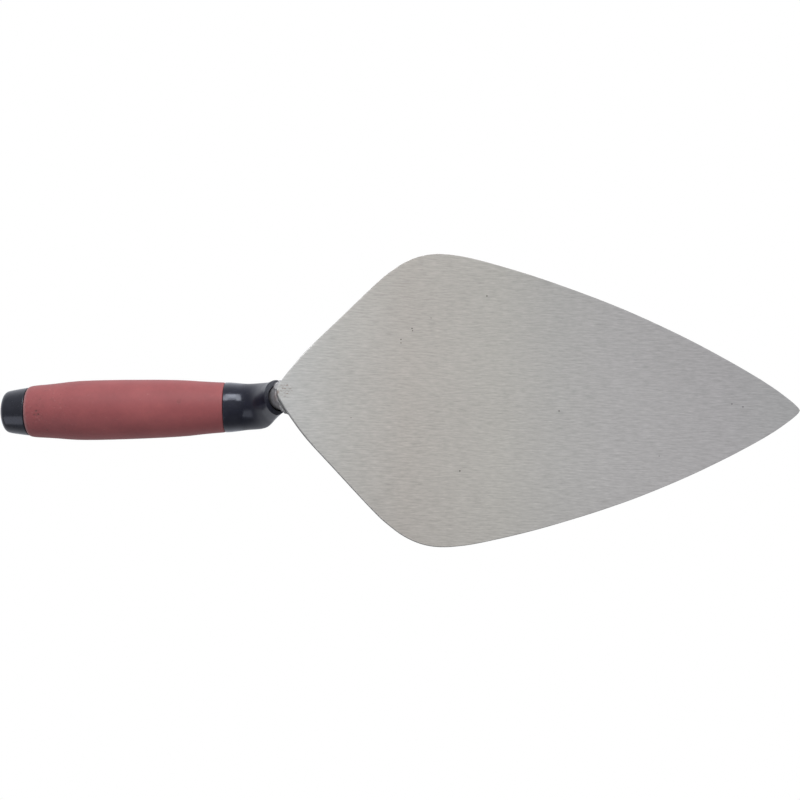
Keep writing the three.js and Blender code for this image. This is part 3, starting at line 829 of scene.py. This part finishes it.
# Blade colour from heel to tip: share of the way, colour
BLADE_TONES = [
    (0.0, (0.472, 0.469, 0.458)), (0.12, (0.466, 0.450, 0.424)), (0.24, (0.480, 0.450, 0.416)),
    (0.42, (0.511, 0.492, 0.458)), (0.53, (0.506, 0.493, 0.474)), (0.64, (0.511, 0.496, 0.488)),
    (0.86, (0.516, 0.500, 0.500)), (1.0, (0.507, 0.503, 0.498))]
# Dents in the grip: scene x, y, z and radius, mm
GRIP_DENTS = [(-213.9, 2.75, 55.25, 0.62), (-212.6, 4.6, 55.3, 0.66), (-214.9, 4.8, 56.2, 0.5),
              (-215.4, 8.8, 58.6, 0.38), (-207.7, 12.2, 59.6, 0.5)]


def mat_blade():
    g = new_material("blade_ground_steel")
    point = g.point()
    x, y, _ = g.xyz(point)
    long_grain = g.noise(point, stretch=(130, 1180, 60), rough=0.6)
    fine_grain = g.noise(point, stretch=(300, 2600, 60), detail=2, rough=0.6)
    wide = g.noise(point, stretch=(14, 24, 20))
    mottling = g.noise(point, scale=420, detail=2)
    tone = g.ramp(g.span(x, start=-0.0875, end=0.196), BLADE_TONES)
    # painted shade: the blade is darkened towards the -y side, where the key light falls strongest
    tone = g.shade(tone, by=g.span(y, start=-0.079, end=0.035, to=(0.87, 1.0)))
    lift = g.vary(long_grain, amount=0.62, plus=1.0)
    lift = g.vary(fine_grain, amount=0.42, plus=lift)
    lift = g.vary(wide, amount=0.10, plus=lift)
    lift = g.vary(mottling, amount=0.05, plus=lift)
    pinholes = None
    for hole_x, hole_y, radius in PINHOLES:
        distance = g.vector("DISTANCE", point, (hole_x * MM, hole_y * MM, 0.0))
        hole = g.fade(distance, start=radius * 0.50 * MM, end=radius * 1.15 * MM, to=(0.24, 1.0))
        pinholes = hole if pinholes is None else g.math("MINIMUM", pinholes, hole)
    # brown marks close to the heel
    heel = g.vector("DISTANCE", point, (-0.0830, -0.0018, 0.0))
    heel = g.fade(heel, start=0.0018, end=0.0052, to=(1.0, 0.0))
    marks = g.noise(point, stretch=(800, 1300, 400), detail=2)
    marks = g.span(marks, start=0.50, end=0.62)
    heel_mark = g.times(g.times(heel, marks), by=0.80)
    corner = g.vector("DISTANCE", point, (-0.0871, -0.0004, 0.0))
    corner = g.fade(corner, start=0.0003, end=0.0016, to=(0.85, 0.0))
    heel_mark = g.math("MAXIMUM", heel_mark, corner)
    edge = g.node("ShaderNodeAttribute", attribute_name="edge").outputs["Fac"]
    colour = g.shade(tone, by=g.times(lift, pinholes))
    colour = g.mix(heel_mark, colour, (0.26, 0.21, 0.185))
    worn = g.times(g.span(edge, start=0.35, end=0.95),
                   g.span(g.noise(point, scale=240, detail=2), start=0.40, end=0.62, to=(0.0, 0.12)))
    colour = g.mix(worn, colour, (0.78, 0.78, 0.78))
    # the rim of the plate is duller than its faces; its darker colour there is painted shade on the edge
    # walls
    flatness = g.math("ABSOLUTE", g.xyz(g.normal())["Z"])
    rim = g.times(g.fade(flatness, start=0.35, end=0.85, to=(0.72, 0.0)),
                  g.fade(x, start=-0.0835, end=-0.0750, to=(0.25, 1.0)))
    colour = g.mix(rim, colour, (0.20, 0.20, 0.205))
    rough = g.scaled(long_grain, times=0.10, plus=0.30)
    rough = g.scaled(wide, times=0.10, plus=rough)
    rough = g.math("SUBTRACT", rough, g.times(worn, by=0.12))
    height = g.math("ADD", g.times(long_grain, by=0.7), g.times(fine_grain, by=0.5))
    normal = g.bump(height, distance=0.00003, strength=0.9)
    normal = g.bump(pinholes, distance=0.00012, strength=0.8, normal=normal)
    rough = g.math("ADD", rough, g.times(rim, by=0.25))
    return g.principled(Base_Color=colour, Metallic=1.0, Roughness=rough, Normal=normal)


def mat_forged():
    g = new_material("shank_forged_steel")
    point = g.point()
    pits = g.noise(point, scale=900, detail=4, rough=0.6)
    blotch = g.noise(point, scale=130, rough=0.6)
    fine = g.noise(point, scale=3200, detail=2)
    colour = g.ramp(blotch, [(0.30, (0.35, 0.335, 0.335)), (0.5, (0.43, 0.415, 0.42)),
                             (0.7, (0.52, 0.505, 0.51))])
    colour = g.shade(colour, by=g.scaled(pits, times=0.5, plus=0.74))
    # painted highlight: bright on the -y side, low on the bar, where the key light falls
    painted_highlight = g.times(g.fade(g.xyz(point)["Y"], start=-0.0050, end=-0.0012, to=(0.75, 0.0)),
                    g.fade(g.xyz(point)["Z"], start=0.007, end=0.010, to=(1.0, 0.0)))
    colour = g.mix(painted_highlight, colour, (0.68, 0.68, 0.68))
    # pink-brown bloom close to the weld
    bloom = g.times(g.span(g.noise(point, scale=260, rough=0.6), start=0.50, end=0.66),
                    g.span(g.xyz(point)["Z"], start=0.009, end=0.004, to=(0.0, 0.5)))
    colour = g.mix(bloom, colour, (0.30, 0.235, 0.22))
    # painted shadow: the bar goes black inside the collar's bore
    depth = g.along(point, start=(-0.09355, 0.0, 0.00674), axis=(-0.563, 0.0, 0.826))
    depth = g.fade(depth, start=-0.0001, end=0.0020, to=(0.0, 0.88))
    colour = g.mix(depth, colour, (0.06, 0.06, 0.065))
    rough = g.scaled(pits, times=0.25, plus=0.48)
    height = g.math("ADD", pits, g.times(fine, by=0.35))
    return g.principled(Base_Color=colour, Metallic=1.0, Roughness=rough,
                        Normal=g.bump(height, distance=0.00012, strength=0.8))


def mat_weld():
    g = new_material("heel_weld_steel")
    point = g.point()
    grain = g.noise(point, scale=700, detail=4, rough=0.6)
    blotch = g.noise(point, scale=220, detail=2)
    colour = g.ramp(blotch, [(0.3, (0.32, 0.315, 0.32)), (0.52, (0.42, 0.415, 0.42)),
                             (0.75, (0.52, 0.515, 0.51))])
    # painted shade: darker on the +y side, away from the key light
    colour = g.shade(colour, by=g.fade(g.xyz(point)["Y"], start=-0.003, end=0.004, to=(1.0, 0.58)))
    tint = g.span(g.noise(point, scale=90, detail=2), start=0.55, end=0.72, to=(0.0, 0.35))
    colour = g.mix(tint, colour, (0.50, 0.40, 0.33))
    rough = g.scaled(grain, times=0.28, plus=0.30)
    return g.principled(Base_Color=colour, Metallic=1.0, Roughness=rough,
                        Normal=g.bump(grain, distance=0.00010, strength=0.8))


def mat_black(name, roughness, tint, lip=None):
    """Black nylon; lip is the outward direction of the collar's mouth, if it has one."""
    g = new_material(name)
    point = g.point()
    cloud = g.noise(point, scale=160, rough=0.55)
    skin = g.noise(point, scale=2600, rough=0.55)
    flow = g.noise(point, stretch=(60, 260, 60), rough=0.6)
    paler = tuple(c * 1.6 + 0.001 for c in tint)
    colour = g.mix(g.span(cloud, start=0.35, end=0.7), tint, paler)
    # dusty patches and hairline scuffs
    dust = g.span(g.noise(point, scale=75, detail=4, rough=0.65), start=0.56, end=0.74)
    dust = g.times(dust, by=0.08)
    colour = g.mix(dust, colour, (0.12, 0.12, 0.13))
    scuff = g.noise(point, stretch=(260, 2600, 1200), detail=2, rough=0.6)
    scuff = g.span(scuff, start=0.66, end=0.74, to=(0.0, 0.25))
    colour = g.mix(scuff, colour, (0.16, 0.16, 0.17))
    rough = g.scaled(cloud, times=0.12, plus=roughness - 0.06)
    coat = 0.50
    if lip is not None:
        # the flat face of the mouth is dull and dusty, and painted lighter, mostly on the -y side towards
        # the key light: real dust with painted light
        face = g.vector("DOT_PRODUCT", g.normal(), tuple(lip))
        face = g.fade(face, start=0.80, end=0.97)
        face = g.times(face, g.span(g.xyz(point)["X"], start=-0.098, end=-0.096))
        face = g.times(face, g.fade(g.xyz(point)["Y"], start=-0.007, end=0.003, to=(1.0, 0.12)))
        dust_and_painted_light = g.mix(g.span(skin, start=0.3, end=0.7), (0.070, 0.073, 0.082), (0.135, 0.14, 0.152))
        colour = g.mix(face, colour, dust_and_painted_light)
        rough = g.scaled(face, times=0.25, plus=rough)
        # less gloss towards the blade end
        dulling = g.fade(g.xyz(point)["X"], start=-0.1075, end=-0.1005, to=(0.0, 0.17))
        rough = g.math("ADD", rough, dulling)
        coat = g.fade(g.xyz(point)["X"], start=-0.1070, end=-0.1010, to=(0.95, 0.24))
    rough = g.math("ADD", rough, g.times(dust, by=0.8))
    rough = g.math("ADD", rough, g.times(scuff, by=0.3))
    height = g.math("ADD", g.times(skin, by=0.5), g.times(flow, by=0.8))
    return g.principled(Base_Color=colour, Metallic=0.0, Roughness=rough,
                        Normal=g.bump(height, distance=0.000035, strength=0.6),
                        IOR=1.50, Specular_Tint=(0.84, 0.88, 1.0), Coat_Weight=coat,
                        Coat_Roughness=0.13, Coat_Tint=(0.86, 0.89, 1.0))


def mat_grip():
    g = new_material("soft_red_grip")
    point = g.point()
    cloud = g.noise(point, scale=55, rough=0.55)
    mottling = g.noise(point, scale=420, rough=0.6)
    grain = g.noise(point, scale=2400, rough=0.6)
    pores = g.voronoi(point, scale=1500)
    colour = g.ramp(cloud, [(0.25, (0.330, 0.080, 0.084)), (0.5, (0.372, 0.092, 0.096)),
                            (0.75, (0.414, 0.106, 0.108))])
    colour = g.shade(colour, by=g.scaled(mottling, times=0.22, plus=0.89))
    # a shade deeper towards the cap, with a paler rim right beside it
    station = g.along(point, start=tuple((HANDLE_START - HEEL_ORIGIN) * MM), axis=tuple(BUTTWARD))
    colour = g.shade(colour, by=g.span(station, start=0.040, end=0.125, to=(1.0, 0.93)))
    colour = g.mix(g.fade(station, start=0.1292, end=0.1308, to=(0.0, 0.45)),
                   colour, (0.42, 0.25, 0.25))
    # dark flecks and small dents
    fleck = g.times(g.span(g.voronoi(point, scale=95), start=0.10, end=0.16, to=(1.0, 0.0)),
                    g.span(g.noise(point, scale=38, detail=2), start=0.62, end=0.68))
    for x, y, z, radius in GRIP_DENTS:
        distance = g.vector("DISTANCE", point, (x * MM, y * MM, z * MM))
        dent = g.fade(distance, start=radius * 0.5 * MM, end=radius * 1.1 * MM, to=(1.6, 0.0))
        fleck = g.math("MAXIMUM", fleck, dent)
    colour = g.mix(g.times(fleck, by=0.45), colour, (0.10, 0.045, 0.04))
    # towards the cap: grubby pits and pale rubbed specks
    worn = g.times(g.fade(station, start=0.088, end=0.122),
                   g.span(g.noise(point, scale=90, detail=2), start=0.40, end=0.58))
    pits = g.noise(point, scale=620, rough=0.6)
    pits = g.times(g.span(pits, start=0.55, end=0.68, to=(0.0, 0.42)), worn)
    colour = g.mix(pits, colour, (0.17, 0.055, 0.055))
    speck = g.noise(point, stretch=(700, 900, 900), detail=2, rough=0.6)
    speck = g.times(g.span(speck, start=0.63, end=0.73, to=(0.0, 0.32)), worn)
    colour = g.mix(speck, colour, (0.58, 0.34, 0.33))
    # pale scuffs all over
    pale = g.noise(point, stretch=(200, 900, 900), rough=0.6)
    pale = g.span(pale, start=0.66, end=0.78, to=(0.0, 0.30))
    colour = g.mix(pale, colour, (0.52, 0.30, 0.29))
    rough = g.scaled(mottling, times=0.16, plus=0.46)
    rough = g.scaled(cloud, times=0.10, plus=rough)
    height = g.math("ADD", g.times(grain, by=0.8), g.times(pores, by=0.35))
    normal = g.bump(height, distance=0.00006, strength=0.7)
    hollows = g.times(g.math("MAXIMUM", fleck, pits), by=-1.0)
    normal = g.bump(hollows, distance=0.00014, strength=0.7, normal=normal)
    return g.principled(Base_Color=colour, Roughness=rough, Normal=normal, IOR=1.47,
                        Sheen_Weight=0.12, Sheen_Roughness=0.5)


def mat_core():
    g = new_material("handle_core_nylon")
    point = g.point()
    cloud = g.noise(point, scale=300)
    grain = g.noise(point, scale=2000)
    colour = g.mix(g.span(cloud, start=0.35, end=0.7), (0.018, 0.018, 0.021), (0.035, 0.035, 0.04))
    return g.principled(Base_Color=colour, Roughness=g.scaled(grain, times=0.2, plus=0.42),
                        Normal=g.bump(grain, distance=0.00005, strength=0.5))


# ------------------------------------------------------------------ camera, scene frame
TO_CAMERA = unit(np.array([-0.1238, 0.2045, -0.9710]))     # from the trowel, below the blade
CAMERA_SPIN = 0.0333                                       # about the line of sight, radians
CAMERA_PLACE = np.array([-179.47, 261.70, -1235.12]) * MM
LIT_CENTRE = np.array([-32.0, 0.0, 8.0]) * MM

_level_right = unit(np.array([1.0, 0, 0]) - TO_CAMERA[0] * TO_CAMERA)
_level_up = np.cross(TO_CAMERA, _level_right)
VIEW_RIGHT = math.cos(CAMERA_SPIN) * _level_right + math.sin(CAMERA_SPIN) * _level_up
VIEW_UP = -math.sin(CAMERA_SPIN) * _level_right + math.cos(CAMERA_SPIN) * _level_up


def pose(right, up, back, place):
    return Matrix([*zip(right, up, back, place), (0, 0, 0, 1)])


def add_camera():
    camera = bpy.data.cameras.new("camera")
    camera.lens = 108.0
    camera.sensor_width = 36.0
    camera.clip_start, camera.clip_end = 0.01, 50
    obj = bpy.data.objects.new("camera", camera)
    obj.matrix_world = pose(VIEW_RIGHT, VIEW_UP, TO_CAMERA, CAMERA_PLACE)
    bpy.context.scene.collection.objects.link(obj)
    bpy.context.scene.camera = obj


# ------------------------------------------------------------------ lights
def view_place(right, up, toward, distance):
    """A place at a distance from the lit centre, by its direction as the camera sees it."""
    return LIT_CENTRE + unit(right * VIEW_RIGHT + up * VIEW_UP + toward * TO_CAMERA) * distance


def raised_place(right, elevation):
    """The same by an elevation in degrees above the line to the camera."""
    rest = math.sqrt(1 - right * right)
    angle = math.radians(elevation)
    return view_place(right, rest * math.sin(angle), rest * math.cos(angle), distance=1.25)


# Each panel: name, place, (width, height), radiance, colour.
# Seen from below: a key with a dimmer wing and a spread, broad fills, low side light
LIGHTS_BELOW = [
    ("key_below", raised_place(right=-0.035, elevation=50.5), (0.31, 0.70), 7.2, (0.96, 0.985, 1.0)),
    ("key_wing_below", raised_place(right=-0.285, elevation=49.5), (0.29, 0.70), 3.1,
     (0.96, 0.98, 1.0)),
    ("key_spread_below", raised_place(right=-0.29, elevation=50.5), (0.43, 0.72), 2.0,
     (0.98, 0.99, 1.0)),
    ("fill_below", view_place(0.30, 0.34, 1.0, distance=1.9), (1.6, 1.3), 0.45, (1.0, 1.0, 1.0)),
    ("top_below", view_place(0.35, 1.0, -0.15, distance=1.3), (1.6, 0.5), 0.9, (1.0, 0.98, 0.96)),
    ("low_below", view_place(-0.70, -0.58, 0.42, distance=1.3), (0.95, 0.70), 1.0,
     (0.90, 0.92, 1.0)),
]
# Seen from above: plain soft studio light; the last column is the height aimed at
LIGHTS_ABOVE = [
    ("key_above", (-0.55, -0.85, 1.15), (0.9, 0.9), 3.7, (1.0, 0.985, 0.96), 0.02),
    ("fill_above", (0.95, 0.55, 0.95), (1.2, 1.0), 0.8, (0.96, 0.98, 1.0), 0.02),
    ("rim_above", (-0.9, 1.0, 0.55), (0.7, 0.5), 1.5, (1.0, 1.0, 1.0), 0.03),
]


def softbox(name, place, size, radiance, colour, target, up, below):
    """A flat panel that shines only for a camera below the blade, or only for one above."""
    back = unit(np.asarray(place, float) - np.asarray(target, float))
    right = unit(np.cross(up, back))
    width, height = size
    light = bpy.data.lights.new(name, "AREA")
    light.shape = "RECTANGLE"
    light.size, light.size_y = width, height
    light.energy = radiance * math.pi * width * height
    light.color = colour
    g = Graph(light)
    shown = g.camera_below()
    if not below:
        shown = g.inverse(shown)
    g.finish(g.fed("ShaderNodeEmission", Strength=shown, Color=(1, 1, 1)), kind="Light")
    obj = bpy.data.objects.new(name, light)
    obj.matrix_world = pose(right, np.cross(back, right), back, place)
    obj.visible_camera = False
    bpy.context.scene.collection.objects.link(obj)
    return obj


def add_lights():
    for row in LIGHTS_BELOW:
        panel = softbox(*row, target=LIT_CENTRE, up=VIEW_UP, below=True)
        if row[0] == "key_spread_below":
            panel.visible_glossy = False
    for *row, aim_z in LIGHTS_ABOVE:
        softbox(*row, target=(0, 0, aim_z), up=VERTICAL, below=False)


# ------------------------------------------------------------------ world and floor
def add_world():
    """Soft surroundings, different for a camera below and above; a white backdrop."""
    world = bpy.data.worlds.new("studio")
    bpy.context.scene.world = world
    g = Graph(world)
    direction = g.node("ShaderNodeTexCoord").outputs["Generated"]
    below = g.camera_below()
    upward = g.vector("DOT_PRODUCT", direction, tuple(VIEW_UP))
    toward = g.vector("DOT_PRODUCT", direction, tuple(TO_CAMERA))
    from_below = g.math("ADD", g.fade(upward, start=-0.7, end=0.9, to=(0.21, 0.50)),
                        g.fade(toward, start=0.15, end=-0.6, to=(0.0, 0.35)))
    from_above = g.fade(g.xyz(direction)["Z"], start=-0.1, end=1.0, to=(0.42, 0.56))
    amount = g.math("ADD", g.times(from_below, below), g.times(from_above, g.inverse(below)))
    seen = g.camera_ray()
    backdrop = g.scaled(below, times=0.18, plus=0.82)
    strength = g.math("ADD", g.times(amount, g.inverse(seen)), g.times(backdrop, seen))
    colour = g.mix(g.times(below, g.inverse(seen)), (1.0, 1.0, 1.0), (0.945, 0.962, 1.0))
    g.finish(g.fed("ShaderNodeBackground", Color=colour, Strength=strength), kind="World")


def add_floor():
    """A pale table top, clear to a camera looking up from below it."""
    bm = bmesh.new()
    bmesh.ops.create_grid(bm, x_segments=8, y_segments=8, size=3.0)
    mesh = bpy.data.meshes.new("floor")
    bm.to_mesh(mesh)
    bm.free()
    obj = bpy.data.objects.new("floor", mesh)
    obj.location = (0, 0, -0.0003)
    bpy.context.scene.collection.objects.link(obj)
    g = new_material("pale_floor")
    point = g.point()
    colour = g.mix(g.noise(point, scale=3.0, detail=2), (0.79, 0.79, 0.785), (0.83, 0.83, 0.825))
    top = g.fed("ShaderNodeBsdfPrincipled", Base_Color=colour, Roughness=0.6, IOR=1.2)
    # far off, the table top melts into the plain backdrop
    far = g.fade(g.vector("LENGTH", point), start=0.45, end=1.9)
    far = g.times(far, g.camera_ray())
    melted = g.mix_shader(far, top, g.fed("ShaderNodeEmission", Strength=0.82))
    clear = g.fed("ShaderNodeBsdfTransparent")
    mesh.materials.append(g.finish(g.mix_shader(g.camera_below(), melted, clear)))


# ------------------------------------------------------------------ assembly
def dress(obj, material, node):
    obj.data.materials.clear()
    obj.data.materials.append(material)
    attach(obj, "root")
    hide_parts(node)


dress(build_blade(), mat_blade(), "blade")
dress(build_shank(), mat_forged(), "shank")
dress(build_weld(), mat_weld(), "heel_weld")
mouth_direction = unit(np.array([16.65 - 6.74, 0.0, -(12.00 + 2.55)]))
dress(build_collar(), mat_black("collar_nylon", roughness=0.145, tint=(0.0026, 0.0026, 0.0090),
                                lip=mouth_direction), "front_collar")
dress(build_grip(), mat_grip(), "grip_sleeve")
dress(build_cap(), mat_black("cap_nylon", roughness=0.28, tint=(0.010, 0.010, 0.014)),
      "butt_cap")

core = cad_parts["handle_core"]
core.data.materials.clear()
core.data.materials.append(mat_core())

add_floor()
add_world()
add_lights()
add_camera()
bpy.context.scene.view_settings.view_transform = "Standard"
bpy.context.scene.view_settings.look = "None"
